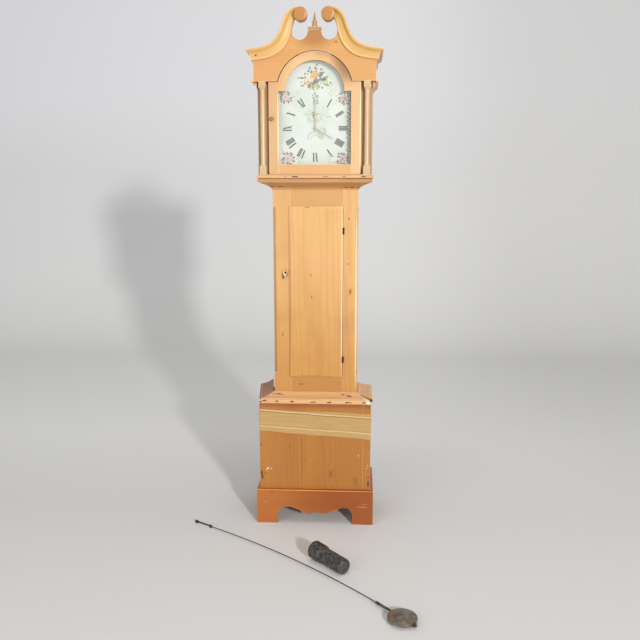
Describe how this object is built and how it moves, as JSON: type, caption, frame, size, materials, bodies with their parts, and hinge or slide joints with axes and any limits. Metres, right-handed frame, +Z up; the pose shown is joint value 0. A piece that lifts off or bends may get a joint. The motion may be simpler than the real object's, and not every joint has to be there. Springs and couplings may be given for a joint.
{
  "type": "longcase clock",
  "caption": "Pine longcase clock with break-arch painted dial, swan-neck hood, opening doors and weight-driven movement, its pendulum and weight laid on the floor.",
  "frame": {"origin": "centre of the plinth's footprint on the floor, without the loose pendulum and weight", "axes": "+X to the right as the dial is faced, +Y to the back, +Z up"},
  "size_m": [0.9075, 1.0477, 2.1214],
  "materials": {
    "pine_plinth": "waxed",
    "pine_base": "waxed",
    "pine_trunk": "waxed",
    "pine_hood": "waxed",
    "pine_inside": "sawn",
    "tape": "creased",
    "wrought_iron": "oxidised",
    "cast_iron": "oxidised",
    "old_steel": "dull",
    "brass": "satin",
    "bell_bronze": "dull",
    "painted_dial": "aged gloss",
    "glass": "clear",
    "bob_metal": "tarnished"
  },
  "bodies": {
    "case": {"back_cock": "brass", "backboard": "pine_inside", "base_bottom": "pine_inside", "base_front": "pine_base", "base_moulding_front": "pine_trunk", "base_moulding_left": "pine_trunk", "base_moulding_right": "pine_trunk", "base_side_left": "pine_base", "base_side_right": "pine_base", "bell": "bell_bronze", "dial": "painted_dial", "movement_frame": "brass", "packing_tape": "tape", "plinth_front": "pine_plinth", "plinth_side_left": "pine_plinth", "plinth_side_right": "pine_plinth", "seatboard": "pine_inside", "throat_moulding": "pine_trunk", "trunk_ironwork": "wrought_iron", "trunk_rails": "pine_trunk", "trunk_side_left": "pine_trunk", "trunk_side_right": "pine_trunk", "trunk_stile_left": "pine_trunk", "trunk_stile_right": "pine_trunk"},
    "trunk_door": {"trunk_door": "pine_trunk", "trunk_door_leaves": "wrought_iron"},
    "door_button": {"trunk_door_button": "pine_trunk"},
    "hood": {"hood_base_frame": "pine_hood", "hood_sides": "pine_hood", "hood_jambs": "pine_hood", "hood_columns": "pine_hood", "hood_frieze": "pine_hood", "hood_cornice_returns": "pine_hood", "swan_neck_left": "pine_hood", "swan_neck_right": "pine_hood", "hood_finial": "pine_hood", "hood_top": "pine_hood", "hood_mask": "pine_inside", "hood_door_pins": "old_steel"},
    "hood_door": {"hood_door_frame": "pine_hood", "hood_door_glass": "glass", "hood_door_knob": "pine_hood"},
    "great_arbor": {"great_wheel": "brass"},
    "minute": {"centre_wheel": "brass", "cannon_pinion": "brass", "minute_hand": "brass"},
    "third_arbor": {"third_wheel": "brass"},
    "escape_arbor": {"escape_wheel": "brass"},
    "anchor": {"anchor": "old_steel"},
    "minute_wheel": {"minute_wheel": "brass"},
    "hour": {"hour_wheel": "brass", "hour_hand": "brass"},
    "date": {"date_disc": "painted_dial"},
    "strike_great": {"strike_great_wheel": "brass"},
    "strike_pin": {"strike_pin_wheel": "brass"},
    "hammer": {"hammer": "old_steel"},
    "pendulum": {"pendulum_rod": "old_steel", "pendulum_bob": "bob_metal"},
    "rating_nut": {"rating_nut": "brass"},
    "weight": {"clock_weight": "cast_iron"}
  },
  "joints": [
    {"name": "trunk_door_hinge", "type": "hinge", "parent": "case", "child": "trunk_door", "pos_m": [0.117, -0.0675, 0.9985], "axis": [0, 0, 1], "range_deg": [0, 110]},
    {"name": "door_button_turn", "type": "hinge", "parent": "case", "child": "door_button", "pos_m": [-0.125, -0.0735, 1.086], "axis": [0, -1, 0], "range_deg": [0, 90]},
    {"name": "hood_slide", "type": "slide", "parent": "case", "child": "hood", "axis": [0, -1, 0], "range_m": [0, 0.25]},
    {"name": "hood_door_hinge", "type": "hinge", "parent": "hood", "child": "hood_door", "pos_m": [0.179, -0.102, 1.6675], "axis": [0, 0, 1], "range_deg": [0, 105]},
    {"name": "minute_hand_turn", "type": "hinge", "parent": "case", "child": "minute", "pos_m": [0, 0, 1.67], "axis": [0, 1, 0], "continuous": true},
    {"name": "hour_hand_turn", "type": "hinge", "parent": "case", "child": "hour", "pos_m": [0, 0, 1.67], "axis": [0, 1, 0], "continuous": true},
    {"name": "minute_wheel_turn", "type": "hinge", "parent": "case", "child": "minute_wheel", "pos_m": [-0.02598, 0, 1.685], "axis": [0, 1, 0], "continuous": true},
    {"name": "great_wheel_turn", "type": "hinge", "parent": "case", "child": "great_arbor", "pos_m": [0.03001, 0, 1.64061], "axis": [0, 1, 0], "continuous": true},
    {"name": "third_wheel_turn", "type": "hinge", "parent": "case", "child": "third_arbor", "pos_m": [0.01799, 0, 1.69476], "axis": [0, 1, 0], "continuous": true},
    {"name": "escape_wheel_turn", "type": "hinge", "parent": "case", "child": "escape_arbor", "pos_m": [0, 0, 1.71725], "axis": [0, 1, 0], "continuous": true},
    {"name": "anchor_swing", "type": "hinge", "parent": "case", "child": "anchor", "pos_m": [0, 0, 1.75119], "axis": [0, 1, 0], "range_deg": [-2.5, 2.5]},
    {"name": "date_disc_turn", "type": "hinge", "parent": "case", "child": "date", "pos_m": [0, 0, 1.6264], "axis": [0, 1, 0], "continuous": true},
    {"name": "strike_great_turn", "type": "hinge", "parent": "case", "child": "strike_great", "pos_m": [-0.038, 0, 1.6406], "axis": [0, 1, 0], "continuous": true},
    {"name": "strike_pin_turn", "type": "hinge", "parent": "case", "child": "strike_pin", "pos_m": [-0.03451, 0, 1.68045], "axis": [0, 1, 0], "continuous": true},
    {"name": "hammer_lift", "type": "hinge", "parent": "case", "child": "hammer", "pos_m": [-0.047, 0, 1.708], "axis": [0, -1, 0], "range_deg": [0, 12], "stiffness_Nm_per_rad": 0.06, "springref_deg": -22.92},
    {"name": "pendulum_lift", "type": "slide", "parent": "case", "child": "pendulum", "axis": [0, 0, 1], "range_m": [0, 0.25]},
    {"name": "rating_nut_turn", "type": "hinge", "parent": "pendulum", "child": "rating_nut", "pos_m": [0.37274, -0.89228, 0.014], "axis": [0.691, -0.7229, 0], "continuous": true},
    {"name": "weight_lift", "type": "slide", "parent": "case", "child": "weight", "axis": [0, 0, 1], "range_m": [0, 0.25]}
  ],
  "couplings": [
    {"joint": "hour_hand_turn", "follows": "minute_hand_turn", "ratio": 0.083333},
    {"joint": "minute_wheel_turn", "follows": "minute_hand_turn", "ratio": -1},
    {"joint": "great_wheel_turn", "follows": "minute_hand_turn", "ratio": -0.16667},
    {"joint": "third_wheel_turn", "follows": "minute_hand_turn", "ratio": -7.5},
    {"joint": "escape_wheel_turn", "follows": "minute_hand_turn", "ratio": 60},
    {"joint": "strike_pin_turn", "follows": "strike_great_turn", "ratio": -9}
  ]
}
